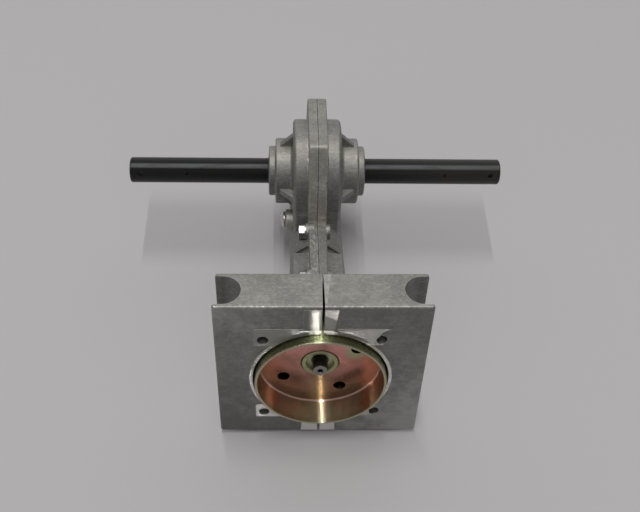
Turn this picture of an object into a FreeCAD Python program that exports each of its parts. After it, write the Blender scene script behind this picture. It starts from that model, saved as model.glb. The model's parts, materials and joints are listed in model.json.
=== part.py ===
import FreeCAD, Part
import math
import os
from FreeCAD import Vector

# Tiller gearbox: worm reduction gearbox with a split cast case.
# All lengths in millimetres.
#
# Construction frame (x, v, w), origin on the tine-shaft axis at the split plane:
#   x  along the tine shaft, to the right
#   v  along the worm shaft, towards the clutch drum
#   w  square to both, upwards
# The finished pieces are then leaned back by the tilt that the gearbox has when it lies
# on a flat surface (on the block's lower back edge and on the rear flange lug), and moved so
# that the origin is at the bottom centre of the whole assembly.

# ---------------------------------------------------------------- driving dimensions
worm_w = -32.0            # worm axis below the tine-shaft axis (centre distance)

shaft_r = 8.5             # bearing seat of the tine shaft, 17 mm diameter
shaft_end_r = 8.0         # free ends of the tine shaft, 16 mm diameter
shaft_len = 235.2
shaft_seat_half = 30.5    # seat length each side of the middle
shaft_pin_x = 111.0       # cross hole near each end
shaft_pin_r = 1.6
shaft_dimple_x = 81.5
shaft_dimple_r = 1.25
shaft_hole_angle = 20.0   # degrees from v towards w

disc_r = 32.7             # gear case drum
disc_half = 14.9
boss_r = 20.7             # bearing boss on each side
boss_end = 25.9
collar_r = 15.7           # seal collar on each side
collar_end = 30.1

rim_r = 37.0              # split flange round the gear case
ear_top = 39.1            # flat-topped ear of the flange over the gear case
ear_half = 5.85           # half its thickness
flange_half = 5.6
flange_thin = 4.7         # the neck flange thins to this at the block
gasket_t = 0.5            # joint gasket thickness

tunnel_r = 16.7           # worm tunnel outside radius
tunnel_back = -41.0
neck_top = 25.0           # neck flange above and below the worm axis
neck_back = 45.9
lobe_half = 17.0          # squared bearing housing on the neck
lobe_top = 15.2           # half width of its top face
lobe_v0, lobe_v1 = 60.5, 82.0
tube_r = 13.5             # neck between lobe and block

block_w = 114.3           # engine block, across its face
block_back_w = 112.6      # across its back
block_mid = worm_w + 1.3  # middle of the bolt square, a little above the worm axis
block_top = 56.8          # above that middle
block_bot = 50.8          # below that middle
block_t = 24.2
face_v = 141.7
pad_h = 0.5               # machined pads stand this proud
groove_r = 9.8            # handle grooves
groove_x = 52.3
bore_r = 37.6
bore_floor = 126.0
bolt_half = 31.5          # engine bolt holes at +-31.5 both ways
bolt_r = 3.0

drum_r = 36.3             # clutch drum
drum_wall = 1.6
drum_front = 146.9
drum_floor = 131.0        # inner face of the drum bottom
drum_hole_pc = 23.6
drum_hole_r = 3.5
hub_r = 10.4
stub_r = 4.25
stub_end = 136.8

module = 1.5              # worm pair
wheel_teeth = 32
wheel_half = 6.0
worm_pitch_r = 8.0
pressure = math.radians(20.0)
backlash = 0.34           # taken from the thickness of both, halved

screw_r = 2.5             # case screws, M5
screw_af = 8.0
screw_head = 3.5
washer_t = 1.0
screws_vw = [(42.0, -14.0), (83.5, -12.6), (109.5, -5.5), (109.5, -58.5),
             (83.5, -51.4), (46.5, -51.4), (-20.0, -55.0), (-39.8, -5.0)]
seat_r = 5.4              # raised seat under each screw's washer
seat_x = 7.0              # its height from the split plane
bump_x = 8.3              # closed bump over each screw's end
lug_r = 6.5               # flange lug that the case rests on, round the seventh screw

dowels_vw = [(-8.0, 35.0), (100.0, -53.5)]
dowel_r = 2.5

plug_v, plug_w = 18.8, -25.0   # grease plug on the left side
plug_boss_x = -19.6

# ball bearings: bore radius, outside radius, width, pitch radius, ball radius, ball count
tine_brg = (shaft_r, 17.5, 10.0, 13.0, 2.38, 10)
worm_brg = (6.0, 14.0, 8.0, 10.0, 2.38, 8)
tine_brg_x = 11.8         # inner side of each tine-shaft bearing
mid_brg_v = 66.0          # rear side of the middle worm bearing
up_brg_v = 108.5          # rear side of the upper worm bearing
ball_gap = 0.06


# ---------------------------------------------------------------- helpers
def P(x, v, w):
    return Vector(x, -v, w)


def cyl_x(r, x0, x1, v=0.0, w=0.0):
    return Part.makeCylinder(r, x1 - x0, P(x0, v, w), Vector(1, 0, 0))


def cyl_v(r, v0, v1, x=0.0, w=worm_w):
    return Part.makeCylinder(r, v1 - v0, P(x, v0, w), Vector(0, -1, 0))


def cyl_w(r, w0, w1, x, v):
    return Part.makeCylinder(r, w1 - w0, P(x, v, w0), Vector(0, 0, 1))


def box(x0, x1, v0, v1, w0, w1):
    return Part.makeBox(x1 - x0, v1 - v0, w1 - w0, Vector(x0, -v1, w0))


def loop(pts, radii, to3):
    """Closed wire through 2-D points with a rounding radius at each point."""
    n = len(pts)
    ends = []
    for i in range(n):
        p = Vector(pts[i][0], pts[i][1], 0)
        a = Vector(pts[i - 1][0], pts[i - 1][1], 0) - p
        b = Vector(pts[(i + 1) % n][0], pts[(i + 1) % n][1], 0) - p
        a.normalize()
        b.normalize()
        r = radii[i] if radii else 0
        if r <= 0:
            ends.append((p, None, p))
            continue
        half = math.acos(max(-1.0, min(1.0, a.dot(b)))) / 2.0
        d = r / math.tan(half)
        bis = a + b
        bis.normalize()
        mid = p + bis * (r / math.sin(half) - r)
        ends.append((p + a * d, mid, p + b * d))
    edges = []
    for i in range(n):
        p0, m, p1 = ends[i]
        if m is not None:
            edges.append(Part.Arc(to3(p0.x, p0.y), to3(m.x, m.y), to3(p1.x, p1.y)).toShape())
        q = ends[(i + 1) % n][0]
        if (q - p1).Length > 1e-5:
            edges.append(Part.LineSegment(to3(p1.x, p1.y), to3(q.x, q.y)).toShape())
    return Part.Wire(edges)


def prism_x(pts, radii, x0, x1):
    """Outline in (v, w), pulled along x."""
    f = Part.Face(loop(pts, radii, lambda a, b: P(x0, a, b)))
    return f.extrude(Vector(x1 - x0, 0, 0))


def prism_w(pts, radii, w0, w1):
    """Outline in (x, v), pulled along w."""
    f = Part.Face(loop(pts, radii, lambda a, b: P(a, b, w0)))
    return f.extrude(Vector(0, 0, w1 - w0))


def prism_v(pts, radii, v0, v1):
    """Outline in (x, w), pulled along v."""
    f = Part.Face(loop(pts, radii, lambda a, b: P(a, v0, b)))
    return f.extrude(Vector(0, -(v1 - v0), 0))


def turn_x(pts, radii=None):
    """Profile (x, r) turned about the tine-shaft axis."""
    f = Part.Face(loop(pts, radii, lambda a, b: P(a, 0, b)))
    return f.revolve(Vector(0, 0, 0), Vector(1, 0, 0), 360)


def turn_v(pts, radii=None):
    """Profile (v, r) turned about the worm axis."""
    f = Part.Face(loop(pts, radii, lambda a, b: P(0, a, worm_w + b)))
    return f.revolve(P(0, 0, worm_w), Vector(0, -1, 0), 360)


def fuse(shapes):
    s = shapes[0].multiFuse(shapes[1:]) if len(shapes) > 1 else shapes[0]
    return s.removeSplitter()


def solid(s):
    """The single solid inside a shape."""
    if s.ShapeType == "Solid":
        return s
    if len(s.Solids) == 1:
        return s.Solids[0]
    return max(s.Solids, key=lambda q: q.Volume)


def mirror_x(s):
    return s.mirror(Vector(0, 0, 0), Vector(1, 0, 0))


def soften(s, r, pick):
    """Round the edges that pick() chooses; the shape is kept as it was if that fails."""
    es = [e for e in s.Edges if pick(e)]
    if not es:
        return s
    try:
        t = s.makeFillet(r, es)
        if t.isValid() and t.Volume > 0.5 * s.Volume:
            return t
    except Exception:
        pass
    print("edge rounding kept sharp:", len(es), "edges, r", r)
    return s


def along(e, axis):
    if len(e.Vertexes) < 2:
        return False
    d = e.Vertexes[1].Point - e.Vertexes[0].Point
    if d.Length < 1e-6 or e.Curve.TypeId != "Part::GeomLine":
        return False
    d.normalize()
    return abs(d.dot(axis)) > 0.999


out = {}

# ---------------------------------------------------------------- case, both halves in one
case_turn = turn_x(
    [(-collar_end, 0), (-collar_end, collar_r), (-boss_end, collar_r), (-boss_end, boss_r),
     (-disc_half, boss_r), (-disc_half, disc_r), (disc_half, disc_r), (disc_half, boss_r),
     (boss_end, boss_r), (boss_end, collar_r), (collar_end, collar_r), (collar_end, 0)],
    [0, 1.0, 0.7, 1.2, 2.2, 2.4, 2.4, 2.2, 1.2, 0.7, 1.0, 0])

# triangular gussets between the disc and each bearing boss, every 90 degrees
gussets = []
for k in range(4):
    tri = Part.Face(loop([(14.0, 17.5), (23.2, 17.5), (23.2, boss_r + 0.4), (14.9, 29.0), (14.0, 29.0)],
                         [0, 0, 0.8, 0.8, 0], lambda a, b: Vector(a, 1.9, b)))
    g = tri.extrude(Vector(0, -3.8, 0))
    g = soften(g, 0.6, lambda e: abs(e.BoundBox.ZMin - (boss_r + 0.4)) < 9 and e.BoundBox.ZMax > boss_r
               and e.BoundBox.YLength < 1e-6 and e.BoundBox.XLength > 3 and e.BoundBox.ZLength > 3)
    g.rotate(Vector(0, 0, 0), Vector(1, 0, 0), 90.0 * k)
    gussets.append(g)
    gussets.append(mirror_x(g))

# front wall of the gear case, carried down from the drum to the worm tunnel
chin = prism_x([(20.0, 0.0), (31.0, 0.0), (35.2, -26.0), (20.0, -26.0)], None, -14.6, 14.6)
chin = soften(chin, 2.2, lambda e: e.BoundBox.XLength < 1e-4 and min(-q.Point.y for q in e.Vertexes) > 30.0)

# worm tunnel, neck tube and the boss of the upper bearing behind the block
tunnel = turn_v(
    [(tunnel_back, 0), (tunnel_back, tunnel_r), (lobe_v0 + 4, tunnel_r), (lobe_v0 + 4, tube_r),
     (98.0, tube_r), (105.0, 19.5), (face_v - block_t + 2, 19.5), (face_v - block_t + 2, 0)],
    [0, 4.0, 0, 0, 4.0, 2.0, 0, 0])

lobe = prism_w([(-lobe_half, lobe_v0), (lobe_half, lobe_v0), (lobe_half, lobe_v1), (-lobe_half, lobe_v1)],
               [1.6, 1.6, 10.0, 10.0], worm_w - 17.0, worm_w + 17.0)
lobe = lobe.common(prism_v([(-lobe_top, worm_w - 17.0), (lobe_top, worm_w - 17.0), (lobe_half, worm_w - 3.0), (lobe_half, worm_w + 3.0),
                            (lobe_top, worm_w + 17.0), (-lobe_top, worm_w + 17.0), (-lobe_half, worm_w + 3.0), (-lobe_half, worm_w - 3.0)],
                           [1.0, 1.0, 4.0, 4.0, 1.0, 1.0, 4.0, 4.0], lobe_v0 - 1, lobe_v1 + 1))
lobe = solid(lobe)

# split flange: outline in the split plane
fl_h = flange_half
circ = cyl_x(rim_r, -fl_h, fl_h)
ear_pts = [(32.6, 17.6), (29.2, 27.0), (25.6, ear_top), (-23.9, ear_top), (-33.0, 28.5), (-45.0, 5.0), (-46.3, -9.0), (-38.0, -17.0), (-20.0, 0.0), (0.0, 10.0)]
ear_rad = [0, 0, 2.4, 3.0, 6.0, 6.0, 5.0, 0, 0, 0]
ear = prism_x(ear_pts, ear_rad, -ear_half, ear_half)

# neck flange, thinner towards the block
strip_pts = [(neck_back, worm_w + neck_top), (94.0, worm_w + neck_top),
             (face_v - block_t + 1, worm_w + 44.0), (face_v - block_t + 1, worm_w - 43.0),
             (94.0, worm_w - neck_top), (neck_back, worm_w - neck_top)]
strip_sharp = prism_x(strip_pts, [1.6, 10.0, 0, 0, 10.0, 4.5], -fl_h - 1, fl_h + 1)
thin_v = face_v - block_t + 2
strip_sharp = solid(strip_sharp.common(prism_w([(-fl_h, neck_back - 1), (fl_h, neck_back - 1), (flange_thin, thin_v), (-flange_thin, thin_v)],
                                               None, worm_w - 60, worm_w + 60)))
strip = soften(strip_sharp, 0.8, lambda e: min(abs(q.Point.x) for q in e.Vertexes) > flange_thin - 0.3
               and e.BoundBox.XLength < 3.0 and max(-q.Point.y for q in e.Vertexes) < thin_v + 1
               and min(-q.Point.y for q in e.Vertexes) < face_v - block_t)
# the flange between gear case and neck, low behind the neck flange's start, carries the first screw
fill = prism_x([(31.0, -22.0), (33.0, -9.4), (48.0, -9.4), (48.0, -22.0)], None, -fl_h + 0.1, fl_h - 0.1)
tail = prism_x([(-47.0, worm_w - 21.5), (46.0, worm_w - 21.5), (46.0, worm_w + 12.0), (-47.0, worm_w + 20.0)],
               [9.0, 0, 0, 9.0], -fl_h, fl_h)
lug_v, lug_w = screws_vw[6]
lug = cyl_x(lug_r, -fl_h, fl_h, lug_v, lug_w)
lug_foot = prism_x([(lug_v - 12.5, worm_w - 21.0), (lug_v - 5.2, lug_w - 3.9), (lug_v + 5.2, lug_w - 3.9),
                    (lug_v + 12.5, worm_w - 21.0), (lug_v, worm_w - 15.0)], None, -fl_h, fl_h)
flange_sharp = solid(fuse([circ, ear, strip_sharp, fill, tail, lug, lug_foot]))


def rim_edge(e):
    """Edges on the two side faces of a flange piece."""
    b = e.BoundBox
    return b.XLength < 1e-4 and abs(abs(b.XMin) - fl_h) < 1e-4


def ear_edge(e):
    b = e.BoundBox
    far = max(math.hypot(q.Point.y, q.Point.z) for q in e.Vertexes)
    return b.XLength < 1e-4 and abs(abs(b.XMin) - ear_half) < 1e-4 and far > 38


# raised washer seats on the left, closed bumps over the screw ends on the right
seats = []
for (v, w) in screws_vw:
    seats.append(cyl_x(seat_r, -seat_x, -2.0, v, w))
    bump = cyl_x(4.6, 2.0, bump_x, v, w)
    seats.append(soften(bump, 0.9, lambda e: e.BoundBox.XMin > bump_x - 0.2))

flange = solid(fuse([soften(circ, 0.9, rim_edge), soften(ear, 0.9, ear_edge), strip, fill,
                     soften(tail, 0.9, rim_edge), soften(lug, 0.9, rim_edge), soften(lug_foot, 0.9, rim_edge)] + seats))

# slanted gussets on the neck between flange and bearing housing, above and below
neck_gus = []
for s in (1, -1):
    g = prism_v([(5.0, worm_w + 8.0), (15.2, worm_w + 8.0), (15.2, worm_w + 11.4), (6.4, worm_w + 18.4), (5.0, worm_w + 18.4)],
                [0, 0, 0, 0.6, 0], 52.3, 55.3)
    if s < 0:
        g = g.mirror(P(0, 0, worm_w), Vector(0, 0, 1))
    neck_gus.append(g)
    neck_gus.append(mirror_x(g))

# horizontal webs from the neck tube out to the back of the block
webs = []
for s in (1, -1):
    wb = prism_w([(s * 8.0, 84.0), (s * 13.0, 84.0), (s * 40.0, face_v - block_t + 1), (s * 8.0, face_v - block_t + 1)],
                 [0, 3.0, 0, 0], worm_w - 2.6, worm_w + 2.6)
    webs.append(wb)

# engine block
b0, b1 = face_v - block_t, face_v


def block_outline(half, v):
    return loop([(-half, block_mid - block_bot), (half, block_mid - block_bot), (half, block_mid + block_top), (-half, block_mid + block_top)],
                [1.5] * 4, lambda a, b: P(a, v, b))


block = solid(Part.makeLoft([block_outline(block_back_w / 2, b0), block_outline(block_w / 2, b1)], True, True))
edge_round = 0.9
block = soften(block, edge_round, lambda e: e.BoundBox.YLength < 1e-6)
for s in (1, -1):
    gx = s * groove_x
    gv = 0.5 * (b0 + b1)
    block = block.cut(cyl_w(groove_r, worm_w - 80, worm_w + 80, gx, gv))
    xs = sorted((gx, s * 70.0))
    block = block.cut(box(xs[0], xs[1], gv - groove_r, gv + groove_r, worm_w - 80, worm_w + 80))

# cored pockets in the back of the block, with a boss left round each bolt hole
for sx in (1, -1):
    for (w0, w1) in ((block_mid + 12.0, block_mid + 51.8), (block_mid - 45.8, block_mid - 12.0)):
        xs = sorted((sx * 8.5, sx * 38.3))
        pk = prism_v([(xs[0], w0), (xs[1], w0), (xs[1], w1), (xs[0], w1)], [4.0] * 4, b0 - 1, b0 + 3.8)
        wb = bolt_half if w0 > block_mid else -bolt_half
        pk = pk.cut(cyl_v(7.5, b0 - 2, b0 + 6, sx * bolt_half, block_mid + wb))
        pk = pk.cut(cyl_v(24.0, b0 - 2, b0 + 6))
        block = block.cut(pk)

# machined pads on the engine face: ring, corner pads, pads beside the slit
f0, f1 = face_v - 1.0, face_v + pad_h
pads = [turn_v([(f0, bore_r - 0.01), (f1, bore_r - 0.01), (f1, 39.3), (f0, 39.3)])]
pads.append(prism_v([(-36.0, block_mid + 26.9), (-24.0, block_mid + 26.9), (-8.0, block_mid + 38.6), (-8.0, block_mid + 40.0), (-36.0, block_mid + 40.0)],
                    [0.8, 0, 0, 0, 0.8], f0, f1))
tr = prism_v([(8.0, block_mid + 38.6), (24.0, block_mid + 27.4), (32.4, block_mid + 27.4), (35.4, block_mid + 40.2), (8.0, block_mid + 40.2)],
             [0, 0, 0.8, 0.4, 0], f0, f1)
tr = tr.cut(cyl_v(6.4, f0 - 1, f1 + 1, 36.4, block_mid + 33.4))
pads.append(solid(tr))
pads.append(prism_v([(-36.1, block_mid - 36.2), (-14.0, block_mid - 36.2), (-22.0, block_mid - 25.0), (-36.1, block_mid - 25.0)],
                    [0.8, 0, 0, 0.8], f0, f1))
br = prism_v([(14.0, block_mid - 35.8), (31.2, block_mid - 35.8), (31.2, block_mid - 26.0), (22.0, block_mid - 26.0)],
             [0, 1.5, 0.8, 0], f0, f1)
pads.append(br)
pads.append(prism_v([(-10.0, block_mid + 37.0), (0.0, block_mid + 37.0), (0.0, block_mid + block_top - 1.9), (-10.0, block_mid + block_top - 1.9)],
                    None, f0, f1))
pads.append(prism_v([(0.0, block_mid + 37.0), (5.6, block_mid + 37.0), (8.0, block_mid + block_top - 1.9), (0.0, block_mid + block_top - 1.9)],
                    None, f0, f1))
pads.append(prism_v([(-10.2, block_mid - block_bot + 0.9), (9.4, block_mid - block_bot + 0.9), (9.0, block_mid - 37.5), (-9.6, block_mid - 37.5)],
                    None, f0, f1))

# ground wedge on the block's top beside the slit
pads.append(prism_w([(0.0, b0 + 1.2), (4.4, b0 + 1.2), (1.6, b1 - 2.2), (0.0, b1 - 2.2)], None, block_mid + block_top - 1.0, block_mid + block_top + 0.3))

# boss for the grease plug, left side only
plug_boss = cyl_x(6.4, plug_boss_x, -10.0, plug_v, plug_w)
plug_boss = soften(plug_boss, 1.0, lambda e: abs(e.BoundBox.XMin - plug_boss_x) < 1e-4 and e.BoundBox.XLength < 1e-4)

case = fuse([case_turn] + gussets + [chin, tunnel, lobe, flange] + neck_gus + webs + [block] + pads + [plug_boss])
case = solid(case)

# ---------------------------------------------------------------- hollows of the case
br_in, br_out, br_wid = tine_brg[0], tine_brg[1], tine_brg[2]
seal_x0 = tine_brg_x + br_wid + 2.2
seal_r = 13.0
hollow = [
    cyl_x(28.5, -tine_brg_x, tine_brg_x),
    cyl_x(br_out, -(tine_brg_x + br_wid), tine_brg_x + br_wid),
    cyl_x(12.2, -collar_end - 1, collar_end + 1),
    cyl_x(seal_r, seal_x0, collar_end + 1), cyl_x(seal_r, -collar_end - 1, -seal_x0),
]
cav_v0, cav_v1 = -20.5, mid_brg_v - 1.5
hollow += [
    cyl_v(12.5, cav_v0, cav_v1),                                   # worm chamber
    cyl_v(10.5, cav_v1 - 1, mid_brg_v + 1),                        # shoulder ahead of the middle bearing
    cyl_v(worm_brg[1], mid_brg_v, mid_brg_v + worm_brg[2]),        # middle bearing seat
    cyl_v(8.6, mid_brg_v, up_brg_v + 1),                           # neck bore
    cyl_v(worm_brg[1], up_brg_v, up_brg_v + worm_brg[2]),          # upper bearing seat
    cyl_v(13.0, up_brg_v + worm_brg[2] - 0.1, bore_floor + 1),     # input seal seat
    cyl_v(bore_r, bore_floor, face_v + 5),                         # drum bore
    cyl_v(9.0, -37.0, cav_v0 + 0.5),                               # tail bush seat
]
for x in (1, -1):
    for w in (1, -1):
        hollow.append(cyl_v(bolt_r, b0 - 5, b1 + 5, x * bolt_half, block_mid + w * bolt_half))
# the slit between the halves of the block, wider at the engine face
hollow.append(prism_w([(-0.3, b0 - 0.01), (0.3, b0 - 0.01), (0.72, b1 + 3), (-0.72, b1 + 3)], None, worm_w - 70, worm_w + 70))
# grease hole
hollow.append(cyl_x(3.0, -40, -6, plug_v, plug_w))
# dowel holes
for (v, w) in dowels_vw:
    hollow.append(cyl_x(dowel_r, -4.6, 4.6, v, w))
for h in hollow:
    case = case.cut(h)

# screw holes and head seats on the left, tapped holes on the right
left_cut = [cyl_x(2.75, -40, 1, v, w) for (v, w) in screws_vw]
left_cut += [cyl_x(5.6, -30, -seat_x, v, w) for (v, w) in screws_vw]
right_cut = [cyl_x(screw_r + 0.02, -1, bump_x - 1.3, v, w) for (v, w) in screws_vw]

half_gap = gasket_t / 2
big = 400
left = case.common(Part.makeBox(big, 2 * big, 2 * big, Vector(-half_gap - big, -big, -big)))
right = case.common(Part.makeBox(big, 2 * big, 2 * big, Vector(half_gap, -big, -big)))
for c in left_cut:
    left = left.cut(c)
for c in right_cut:
    right = right.cut(c)
out["left_housing"] = solid(left)
out["right_housing"] = solid(right)

# ---------------------------------------------------------------- joint gasket
gk = flange_sharp.common(box(-half_gap, half_gap, -90, b0 - 0.6, -90, 60))
try:
    face = [f for f in gk.Faces if abs(f.BoundBox.XLength) < 1e-6][0]
    off = face.makeOffset2D(-0.15)
    fx = face.BoundBox.XMin
    off = off.Faces[0] if off.Faces else Part.Face(off)
    gk2 = off.extrude(Vector(gasket_t if fx < 0 else -gasket_t, 0, 0))
    if gk2.isValid() and gk2.Volume > 0.7 * gk.Volume:
        gk = gk2
    else:
        print("gasket kept at the full outline")
except Exception as err:
    print("gasket kept at the full outline", err)
for h in hollow[:13]:
    gk = gk.cut(h)
for (v, w) in screws_vw:
    gk = gk.cut(cyl_x(2.8, -2, 2, v, w))
for (v, w) in dowels_vw:
    gk = gk.cut(cyl_x(dowel_r + 0.2, -2, 2, v, w))
out["joint_gasket"] = solid(gk)

# ---------------------------------------------------------------- fasteners
heads, washers = [], []
hx1 = -seat_x - washer_t
hx0 = hx1 - screw_head
for i, (v, w) in enumerate(screws_vw):
    rot = math.radians(30 + 7 * (i % 5)) if i else math.radians(30)
    hexa = []
    for k in range(6):
        a = rot + k * math.pi / 3
        hexa.append((v + screw_af / math.sqrt(3) * math.cos(a), w + screw_af / math.sqrt(3) * math.sin(a)))
    hd = prism_x(hexa, None, hx0, hx1)
    # rounded-off outer corners of the hex
    cone = Part.makeCone(3.75, 3.75 + 2.2, 1.27, P(hx0, v, w), Vector(1, 0, 0))
    hd = hd.common(cone.fuse(cyl_x(8.0, hx0 + 1.27, hx1, v, w)))
    sh = cyl_x(screw_r, hx1 - 0.01, bump_x - 1.7, v, w)
    sh = sh.makeChamfer(0.6, [e for e in sh.Edges if e.BoundBox.XMin > bump_x - 2])
    heads.append(solid(fuse([solid(hd), sh])))
    ring = cyl_x(5.0, hx1, -seat_x, v, w).cut(cyl_x(2.7, hx1 - 1, 0, v, w))
    washers.append(solid(ring))
out["housing_screws"] = Part.Compound(heads)
out["screw_washers"] = Part.Compound(washers)
out["dowel_pins"] = Part.Compound([cyl_x(dowel_r, -4.5, 4.5, v, w) for (v, w) in dowels_vw])

ps = plug_boss_x - 0.5
plug_head = Part.Face(loop([(ps, 0), (ps, 5.3), (ps - 1.0, 5.3), (ps - 2.5, 2.6), (ps - 2.7, 0)],
                           [0, 0.1, 1.2, 1.2, 0], lambda a, b: P(a, plug_v, plug_w + b)))
plug_head = plug_head.revolve(P(0, plug_v, plug_w), Vector(1, 0, 0), 360)
plug = fuse([plug_head, cyl_x(2.98, ps - 0.2, -12.8, plug_v, plug_w)])
for (dv, dw) in ((2.6, 0.45), (0.45, 2.6)):
    plug = plug.cut(box(ps - 4.0, ps - 1.5, plug_v - dv, plug_v + dv, plug_w - dw, plug_w + dw))
out["grease_plug"] = solid(plug)
out["plug_washer"] = solid(cyl_x(5.0, ps, plug_boss_x, plug_v, plug_w).cut(cyl_x(3.0, -40, 0, plug_v, plug_w)))

# ---------------------------------------------------------------- tine shaft and wheel
L = shaft_len / 2
sh = turn_x([(-L, 0), (-L, shaft_end_r), (-shaft_seat_half - 0.5, shaft_end_r), (-shaft_seat_half, shaft_r),
             (shaft_seat_half, shaft_r), (shaft_seat_half + 0.5, shaft_end_r), (L, shaft_end_r), (L, 0)],
            [0, 1.3, 0, 0, 0, 0, 1.3, 0])
hd = math.radians(shaft_hole_angle)
hdir = Vector(0, -math.cos(hd), math.sin(hd))
for s in (1, -1):
    sh = sh.cut(Part.makeCylinder(shaft_pin_r, 40, Vector(s * shaft_pin_x, 0, 0) - hdir * 20, hdir))
    sh = sh.cut(Part.makeCylinder(shaft_dimple_r, 10, Vector(s * shaft_dimple_x, 0, 0) + hdir * (shaft_end_r - 1.3), hdir))
key_w0 = 5.4
sh = sh.cut(box(-7.0, 7.0, -2.5, 2.5, key_w0, 12))
out["tine_shaft"] = solid(sh)
out["wheel_key"] = box(-7.0, 7.0, -2.5, 2.5, key_w0, 10.3)

pitch_r = module * wheel_teeth / 2
base_r = pitch_r * math.cos(pressure)
tip_r = pitch_r + module
root_r = pitch_r - 1.25 * module - 0.1
tan_lead = module / (2 * worm_pitch_r)
inv0 = math.tan(pressure) - pressure
half_pitch_ang = math.pi / (2 * wheel_teeth) - 0.25 * backlash / pitch_r


def flank(r):
    """Half tooth angle at radius r."""
    if r <= base_r:
        return half_pitch_ang + inv0
    a = math.acos(base_r / r)
    return half_pitch_ang + inv0 - (math.tan(a) - a)


def wheel_outline(x, turn):
    radii = [root_r, base_r, 0.5 * (base_r + pitch_r), pitch_r, pitch_r + 0.5 * module, tip_r]
    pts = []
    for k in range(wheel_teeth):
        # a tooth space sits on the -w axis, over the worm
        c = -math.pi / 2 + math.pi / wheel_teeth + 2 * math.pi * k / wheel_teeth
        for r in radii:
            pts.append((r, c - flank(r)))
        for r in reversed(radii):
            pts.append((r, c + flank(r)))
    vs = [Vector(x, r * math.cos(a + turn), r * math.sin(a + turn)) for (r, a) in pts]
    return Part.makePolygon(vs + [vs[0]])


twist = wheel_half * tan_lead / pitch_r
teeth = Part.makeLoft([wheel_outline(-wheel_half, -twist), wheel_outline(wheel_half, twist)], True, True)
wheel = teeth
wheel = wheel.cut(turn_x([(3.5, 13.5), (7.0, 13.5), (7.0, 19.0), (3.5, 19.0)], [2.0, 0, 0, 2.0]))
wheel = wheel.cut(turn_x([(-7.0, 13.5), (-3.5, 13.5), (-3.5, 19.0), (-7.0, 19.0)], [0, 2.0, 2.0, 0]))
wheel = wheel.fuse(cyl_x(13.2, -9.0, 9.0))
wheel = wheel.cut(cyl_x(shaft_r, -12, 12))
wheel = wheel.cut(box(-12, 12, -2.5, 2.5, 0, 10.4))
# slight throat turned into the tooth tips
wheel = wheel.cut(turn_x([(-8.0, tip_r + 0.6), (-8.0, tip_r + 3.0), (8.0, tip_r + 3.0), (8.0, tip_r + 0.6), (7.0, tip_r - 0.05), (0, tip_r - 0.35), (-7.0, tip_r - 0.05)]))
out["worm_wheel"] = solid(wheel)
sp = cyl_x(11.0, 9.0, tine_brg_x).cut(cyl_x(shaft_r, 5, 15))
out["right_spacer"] = solid(sp)
out["left_spacer"] = solid(mirror_x(sp))


# ---------------------------------------------------------------- ball bearings
def bearing(spec, mapper, axis_dir, centre):
    """Outer ring, inner ring, balls and snap-in cage of a deep-groove bearing.

    The rings are drawn in (axial, radial) from one side face and placed by mapper."""
    rb, ro, wid, pr, ball, count = spec
    mid = wid / 2
    r_in_out = pr - 0.68 * ball
    r_out_in = pr + 0.76 * ball
    outer = mapper([(0, r_out_in), (wid, r_out_in), (wid, ro), (0, ro)], [0, 0, 0.5, 0.5])
    inner = mapper([(0, rb), (wid, rb), (wid, r_in_out), (0, r_in_out)], [0.4, 0.4, 0, 0])
    cb = centre(mid)
    tor = Part.makeTorus(pr, ball + ball_gap, cb, axis_dir)
    outer = outer.cut(tor)
    inner = inner.cut(tor)
    side = Vector(0, 0, 1)
    other = axis_dir.cross(side)
    balls, pockets = [], []
    for k in range(count):
        a = 2 * math.pi * k / count + 0.2
        c = cb + side * (pr * math.cos(a)) + other * (pr * math.sin(a))
        balls.append(Part.makeSphere(ball, c))
        pockets.append(Part.makeSphere(ball + 0.08, c))
    ring = mapper([(mid + 0.7, pr - 0.9), (mid + 0.7, pr + 0.9), (mid + 3.1, pr + 0.9), (mid + 3.1, pr - 0.9)],
                  [0, 0, 0.3, 0.3])
    for q in pockets:
        ring = ring.cut(q)
    return solid(outer), solid(inner), Part.Compound(balls), solid(ring)


def on_x(side):
    x0 = tine_brg_x

    def mapper(pts, radii):
        return turn_x([(side * (x0 + a), r) for (a, r) in pts], radii)
    return mapper


def on_v(v0, flip):
    def mapper(pts, radii):
        wid = worm_brg[2]
        return turn_v([(v0 + (wid - a if flip else a), r) for (a, r) in pts], radii)
    return mapper


for name, side in (("right", 1), ("left", -1)):
    o, i, b, c = bearing(tine_brg, on_x(side), Vector(side, 0, 0),
                         lambda m, s=side: Vector(s * (tine_brg_x + m), 0, 0))
    out[name + "_bearing_outer_ring"] = o
    out[name + "_bearing_inner_ring"] = i
    out[name + "_bearing_balls"] = b
    out[name + "_bearing_cage"] = c
for name, v0, flip in (("middle", mid_brg_v, True), ("upper", up_brg_v, True)):
    o, i, b, c = bearing(worm_brg, on_v(v0, flip), Vector(0, -1, 0),
                         lambda m, q=v0: P(0, q + worm_brg[2] - m, worm_w))
    out[name + "_bearing_outer_ring"] = o
    out[name + "_bearing_inner_ring"] = i
    out[name + "_bearing_balls"] = b
    out[name + "_bearing_cage"] = c

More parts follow.
